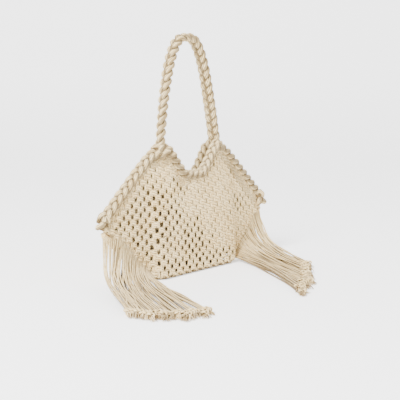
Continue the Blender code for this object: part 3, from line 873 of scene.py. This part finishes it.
def fringe(name, side, lay, node, seed):
    """Loose strands from the side seam's row of knots, each with a knot and a frayed tuft at its end."""
    chance = np.random.default_rng(seed)
    yarn, tufts = Yarn(), Yarn()
    seam_row(yarn, side)
    part = np.linspace(0.0, 1.0, STRAND_STEPS + 1)
    for number in range(STRANDS + UNDER_STRANDS):
        under = number >= STRANDS
        share = (number + 0.5) / STRANDS
        if under:
            share = UNDER_FROM + (1.0 - UNDER_FROM) * (number - STRANDS + 0.5) / UNDER_STRANDS
        drift = chance.normal(0.0, STRAY_ALONG)
        stretch = 1.0 + chance.normal(0.0, STRAY_LENGTH)
        drifted = float(np.clip(share + drift, 0.0, 1.0))
        near = even_path(strand_path(side, share, lay, stretch), STRAND_STEPS)
        far = even_path(strand_path(side, drifted, lay, stretch), STRAND_STEPS)
        mix = ease(part * 1.4)[:, None]
        path = near * (1.0 - mix) + far * mix
        height = (UNDER_HEIGHT if under else chance.uniform(*UPPER_HEIGHT)) * STRAND_ROOM
        path[:, 2] += height * ease(part * 3.0)
        wander = chance.normal(0.0, STRAY_SIDEWAYS, (BENDS, 2))
        for k in range(BENDS):
            wave = np.sin(part * math.pi * (k + 1)) * ease(part * 4.0)
            path[:, 0] += wander[k, 0] * wave
            path[:, 1] += wander[k, 1] * wave
        path[:, 2] = np.maximum(path[:, 2], STRAND / 2)
        # Strands beneath and their ends are painted in shade
        end_knot(yarn, tufts, path, chance, UNDER_END_DARK if under else 0.0)
        # Painted shade: more on lower strands, where strands leave the seam, and in the fringe's hollow on
        # strands that lie low
        lowness = UNDER_DARK if under else UPPER_DARK[0] - UPPER_DARK[1] * height / STRAND_ROOM
        below = np.maximum(lowness, SEAM_DARK * ease(share * 8.0) * falling(part[:-1], *LEAVING_SHADE))
        along_seam = abs(share - HOLLOW[0]) / HOLLOW_SIZE[0]
        along_strand = np.abs(part[:-1] - HOLLOW[1]) / HOLLOW_SIZE[1]
        hollow = ease(1.3 - along_seam) * ease(1.3 - along_strand)
        if height < 0.1 * STRAND_ROOM:
            below = np.maximum(below, HOLLOW_DARK * hollow)
        yarn.cord(path[:-1], STRAND / 2, 7, shaded_by_neighbours(path[:-1], below))
    yarn.piece(name, NET_COTTON, "knotted_cotton", [node])
    tufts.piece(name + "_tufts", FRAYED_COTTON, "knotted_cotton", [])


def shaded_by_neighbours(path, below):
    """Works out the shade painted on the points of a strand from its neighbours: on its underside and flanks
    most.
    """
    def depth(rings):
        facing = (rings - with_ends(path)[:, None]) @ np.array(STRAND_OUTSIDE) / (STRAND / 2)
        return np.maximum(with_ends(below[:, None]), STRAND_DARK * falling(facing, *STRAND_SHADE))
    return depth


def seam_row(yarn, side):
    """Row of half hitches that closes the side seam."""
    start, end = seam_point(side, 0.0), seam_point(side, 1.0)
    along = (end - start) / np.linalg.norm(end - start)
    across = np.array([0.0, 1.0, 0.0])
    other = np.cross(along, across)
    turns = int(np.linalg.norm(end - start) / (CORD * HITCH_PITCH))
    angle = np.linspace(0.0, 2 * math.pi * turns, turns * 12)
    part = np.linspace(0.0, 1.0, len(angle))[:, None]
    reach = HEAD_THICK / 2 - CORD * SEAM_REACH
    forward = across * (reach * np.cos(angle))[:, None]
    outward = other * (reach * np.sin(angle))[:, None]
    path = start + (end - start) * part + forward + outward
    path[:, 2] = np.maximum(path[:, 2], CORD / 2)
    yarn.cord(path, CORD / 2)
    yarn.cord(even_path(np.array([start, end]), 20), CORD)


def end_knot(yarn, tufts, path, chance, deep):
    """Overhand knot at a strand's end and the cord's fibres fanned out beyond it."""
    along = path[-1] - path[-4]
    along[2] = 0.0
    along /= np.linalg.norm(along)
    across = np.cross(along, (0.0, 0.0, 1.0))
    size = STRAND * chance.uniform(*END_KNOT_SIZE)
    middle = path[-1] - along * chance.uniform(*END_KNOT_BACK)
    middle[2] = max(path[-1][2], size * 2.3)
    right, up, over = round_knot(np.linspace(0.0, 2 * math.pi, 22) + chance.uniform(0, 6))
    tilt = chance.uniform(*END_KNOT_TILT)
    right, up, over = right * size, up * size, over * size * 1.1
    sideways = across * (right * math.cos(tilt))[:, None]
    forward = along * (over + right * math.sin(tilt))[:, None]
    knot = middle + sideways + forward
    knot[:, 2] = np.maximum(knot[:, 2] + up, STRAND * 0.55)

    # Shade painted deeper towards the knot's middle, and on the knots of strands beneath at least their shade
    def depth(rings):
        inside = falling(np.linalg.norm(rings - middle, axis=2) / size, *END_SHADE)
        return np.maximum(inside, deep)

    yarn.cord(knot, STRAND * 0.54, sunk=depth)
    part = np.linspace(0.0, 1.0, len(FIBRE_TAPER))
    for _ in range(FIBRES):
        spread = chance.normal(0.0, FIBRE_SPREAD)
        length = chance.uniform(*FIBRE_LENGTH)
        lift = chance.uniform(*FIBRE_LIFT)
        lead = along * math.cos(spread) + across * math.sin(spread)
        fibre = middle + along * size * 1.5 + lead * (part * length)[:, None]
        fibre[:, 2] += length * lift * np.sin(part * math.pi) - part * (middle[2] - 0.0012)
        bend = chance.normal(0.0, FIBRE_BEND)
        fibre += across * (bend * part**2)[:, None]
        fibre[:, 2] = np.maximum(fibre[:, 2], FIBRE_REST)
        # Each lock darker by chance, and at least as dark as the shade painted on its strand's end
        shade = float(np.clip(chance.uniform(*FIBRE_SHADE), deep, 1.0))
        tufts.cord(fibre, STRAND * FIBRE_TAPER, 5, shade)


# Finishes

WISP_SIZE = 0.0009      # a wisp of fibres, drawn coarser than it is so that it shows
PATCH_SIZE = 0.03       # browner and paler lengths of yarn
SPECK_SIZE = 0.004      # uneven places in the yarn
# The shadowed colour is painted shade, mixed in as far as each point's shade attribute says
SHADE_DEPTH = 0.90      # share of the shadowed colour in the deepest places


def linear(hex_colour):
    """Shader colour of an sRGB hex value."""
    values = [int(hex_colour[i : i + 2], 16) / 255 for i in (1, 3, 5)]
    return (*[v / 12.92 if v <= 0.04045 else ((v + 0.055) / 1.055) ** 2.4 for v in values], 1.0)


def add_node(tree, kind, settings=(), inputs=(), links=()):
    """Adds a node with its settings, its input values and the links into it."""
    node = tree.nodes.new(kind)
    for setting, value in dict(settings).items():
        setattr(node, setting, value)
    for socket, value in dict(inputs).items():
        node.inputs[socket].default_value = value
    for socket, source in dict(links).items():
        tree.links.new(source, node.inputs[socket])
    return node


def spun_cotton(name, pale, deep, shadowed, ply_depth):
    """Natural cotton cord, spun from three plies and never dyed or glazed.

    The fibre is matt with a faint bloom of loose hairs at its edges, cream with browner places,
    and the plies show as slanting ridges along each cord. Shade is painted into its colour: darker between
    the ply ridges, and towards a shadowed brown as far as each point's shade attribute says."""
    finish = bpy.data.materials.new(name)
    finish.use_nodes = True
    tree = finish.node_tree
    shader = tree.nodes["Principled BSDF"]
    shader.inputs["Roughness"].default_value = 0.88
    shader.inputs["IOR"].default_value = 1.53
    shader.inputs["Specular IOR Level"].default_value = 0.25
    shader.inputs["Sheen Weight"].default_value = 0.10
    shader.inputs["Sheen Roughness"].default_value = 0.5
    laid = add_node(tree, "ShaderNodeUVMap", {"uv_map": "along_and_round"})
    parts = add_node(tree, "ShaderNodeSeparateXYZ", links={"Vector": laid.outputs["UV"]})
    along = add_node(tree, "ShaderNodeMath", {"operation": "MULTIPLY"},
                     {1: 2 * math.pi / (PLIES * PLY_PITCH)}, {0: parts.outputs["X"]})
    round_it = add_node(tree, "ShaderNodeMath", {"operation": "MULTIPLY"},
                        {1: 2 * math.pi}, {0: parts.outputs["Y"]})
    slant = add_node(tree, "ShaderNodeMath", {"operation": "ADD"},
                     links={0: along.outputs[0], 1: round_it.outputs[0]})
    plies = add_node(tree, "ShaderNodeMath", {"operation": "MULTIPLY"}, {1: PLIES}, {0: slant.outputs[0]})
    ridge = add_node(tree, "ShaderNodeMath", {"operation": "SINE"}, links={0: plies.outputs[0]})
    where = add_node(tree, "ShaderNodeTexCoord")
    fibres = add_node(tree, "ShaderNodeTexNoise", {}, {"Scale": 1 / WISP_SIZE, "Detail": 3.0},
                      {"Vector": where.outputs["Object"]})
    height = add_node(tree, "ShaderNodeMath", {"operation": "MULTIPLY_ADD"},
                      {1: 0.5}, {0: ridge.outputs[0], 2: fibres.outputs["Fac"]})
    bump = add_node(tree, "ShaderNodeBump", {}, {"Strength": 0.55, "Distance": ply_depth},
                    {"Height": height.outputs[0]})
    tree.links.new(bump.outputs["Normal"], shader.inputs["Normal"])
    patches = add_node(tree, "ShaderNodeTexNoise", {}, {"Scale": 1 / PATCH_SIZE, "Detail": 2.0},
                       {"Vector": where.outputs["Object"]})
    specks = add_node(tree, "ShaderNodeTexNoise", {}, {"Scale": 1 / SPECK_SIZE, "Detail": 1.0},
                      {"Vector": where.outputs["Object"]})
    # The yarn's own tone, browner and paler at random
    shade = add_node(tree, "ShaderNodeMath", {"operation": "MULTIPLY_ADD"},
                     {1: 0.5}, {0: patches.outputs["Fac"], 2: specks.outputs["Fac"]})
    # Paler on the ply ridges and darker between them, which is painted shade in the grooves, added to the
    # yarn's own random tone
    groove = add_node(tree, "ShaderNodeMath", {"operation": "MULTIPLY_ADD"},
                      {1: 0.15}, {0: ridge.outputs[0], 2: shade.outputs[0]})
    spread = add_node(tree, "ShaderNodeMapRange", {}, {"From Min": 0.50, "From Max": 1.0},
                      {"Value": groove.outputs[0]})
    colour = add_node(tree, "ShaderNodeMix", {"data_type": "RGBA"}, {6: linear(deep), 7: linear(pale)},
                      {0: spread.outputs[0]})
    # Painted shade: the colour is mixed towards the shadowed brown as far as the points' shade attribute says
    sunk = add_node(tree, "ShaderNodeAttribute", {"attribute_name": "sunk"})
    hollow = add_node(tree, "ShaderNodeMath", {"operation": "MULTIPLY"},
                      {1: SHADE_DEPTH}, {0: sunk.outputs["Fac"]})
    painted_shade_colour = add_node(tree, "ShaderNodeMix", {"data_type": "RGBA"}, {7: linear(shadowed)},
                        {0: hollow.outputs[0], 6: colour.outputs[2]})
    tree.links.new(painted_shade_colour.outputs[2], shader.inputs["Base Color"])
    return finish


# Light, backdrop and camera
ROOM_LIGHT = 1.3        # the soft light of a white studio
PAPER_GLOW = 1.22       # the backdrop has lamps of its own
FLOOR_GLOW = 0.82
GLOW_RISE = 0.3         # height at which the paper glows in full
SOFT_BOXES = (
    ("key_soft_box", (-3.0, -0.6, 2.6), 1.4, 420.0),
    ("fill_soft_box", (0.3, -2.4, 1.0), 1.8, 25.0),
)
LIT_PLACE = (0.0, 0.0, 0.12)
PAPER_REACH = 6.0       # to each side, forward and up
PAPER_FLAT = 2.0        # from the bag back to where the paper curves up
PAPER_ROUND = 1.5
PAPER_HEADING = (0.79, 0.613, 0.0)
CAMERA_PLACE = (-1.2647, -1.0060, 0.3170)
CAMERA_HEADING = 52.18  # degrees from straight ahead, to the right
CAMERA_DIP = 6.56
CAMERA_RISE = -0.025
SENSOR_WIDTH = 36.0     # millimetres
FOCAL_LENGTH = 90.0


def studio():
    """Pale floor that curves up into the backdrop, soft light and the camera."""
    paper = bpy.data.materials.new("backdrop_paper")
    paper.use_nodes = True
    surface = paper.node_tree.nodes["Principled BSDF"]
    surface.inputs["Base Color"].default_value = linear("#FAFAFA")
    surface.inputs["Roughness"].default_value = 1.0
    surface.inputs["Specular IOR Level"].default_value = 0.0
    surface.inputs["Emission Color"].default_value = (1.0, 1.0, 1.0, 1.0)
    place = add_node(paper.node_tree, "ShaderNodeNewGeometry")
    parts = add_node(paper.node_tree, "ShaderNodeSeparateXYZ", links={"Vector": place.outputs["Position"]})
    glow = add_node(paper.node_tree, "ShaderNodeMapRange", {},
                    {"From Max": GLOW_RISE, "To Min": FLOOR_GLOW, "To Max": PAPER_GLOW},
                    {"Value": parts.outputs["Z"]})
    paper.node_tree.links.new(glow.outputs[0], surface.inputs["Emission Strength"])
    view = Vector(PAPER_HEADING).normalized()
    cross = Vector((-view.y, view.x, 0.0))
    profile = [(-PAPER_REACH, 0.0), (PAPER_FLAT, 0.0)]
    for angle in np.linspace(0.1, math.pi / 2, 12):
        along = PAPER_FLAT + PAPER_ROUND * math.sin(angle)
        profile.append((along, PAPER_ROUND - PAPER_ROUND * math.cos(angle)))
    profile.append((PAPER_FLAT + PAPER_ROUND, PAPER_REACH))
    points = []
    for along, height in profile:
        for side in (-PAPER_REACH, PAPER_REACH):
            points.append(view * along + cross * side + Vector((0, 0, height)))
    faces = [(2 * i, 2 * i + 2, 2 * i + 3, 2 * i + 1) for i in range(len(profile) - 1)]
    mesh = bpy.data.meshes.new("backdrop")
    mesh.from_pydata(points, [], faces)
    mesh.materials.append(paper)
    mesh.shade_smooth()
    backdrop = bpy.data.objects.new("backdrop", mesh)
    bpy.context.scene.collection.objects.link(backdrop)
    world = bpy.data.worlds.new("studio_room")
    bpy.context.scene.world = world
    world.use_nodes = True
    world.node_tree.nodes["Background"].inputs["Color"].default_value = (1.0, 1.0, 1.0, 1.0)
    world.node_tree.nodes["Background"].inputs["Strength"].default_value = ROOM_LIGHT
    for name, place, size, power in SOFT_BOXES:
        light = bpy.data.lights.new(name, "AREA")
        light.shape = "DISK"
        light.size = size
        light.energy = power
        lamp = bpy.data.objects.new(name, light)
        lamp.location = place
        lamp.rotation_euler = (Vector(LIT_PLACE) - Vector(place)).to_track_quat("-Z", "Y").to_euler()
        bpy.context.scene.collection.objects.link(lamp)
    lens = bpy.data.cameras.new("camera")
    lens.sensor_width = SENSOR_WIDTH
    lens.lens = FOCAL_LENGTH
    lens.shift_y = CAMERA_RISE
    camera = bpy.data.objects.new("camera", lens)
    camera.location = CAMERA_PLACE
    camera.rotation_euler = (math.radians(90.0 - CAMERA_DIP), 0.0, math.radians(-CAMERA_HEADING))
    bpy.context.scene.collection.objects.link(camera)
    bpy.context.scene.camera = camera


# The last colour of each is the shadowed brown into which shade is painted
NET_COTTON = spun_cotton("spun_cotton_net", "#F4DEAC", "#D9B97C", "#5C4520", 0.0005)
ROPE_COTTON = spun_cotton("spun_cotton_rope", "#F1DDAE", "#D5B77E", "#5C4520", 0.0005)
FRAYED_COTTON = spun_cotton("frayed_cotton", "#F0DDB4", "#D2B47C", "#6A4E24", 0.0003)

knotted_net("front_net", -1, FRONT_OPEN, ["front_panel"], 11)
knotted_net("back_net", 1, BACK_OPEN, ["back_panel"], 12)
rim_rope("left_rim_rope", -1, 40.0)
rim_rope("right_rim_rope", 1, 0.0)
mouth_rope("front_mouth_rope", -1)
mouth_rope("back_mouth_rope", 1)
plaited_handle()
fringe("left_strands", -1, LEFT_LAY, "left_fringe", 21)
fringe("right_strands", 1, RIGHT_LAY, "right_fringe", 22)
studio()
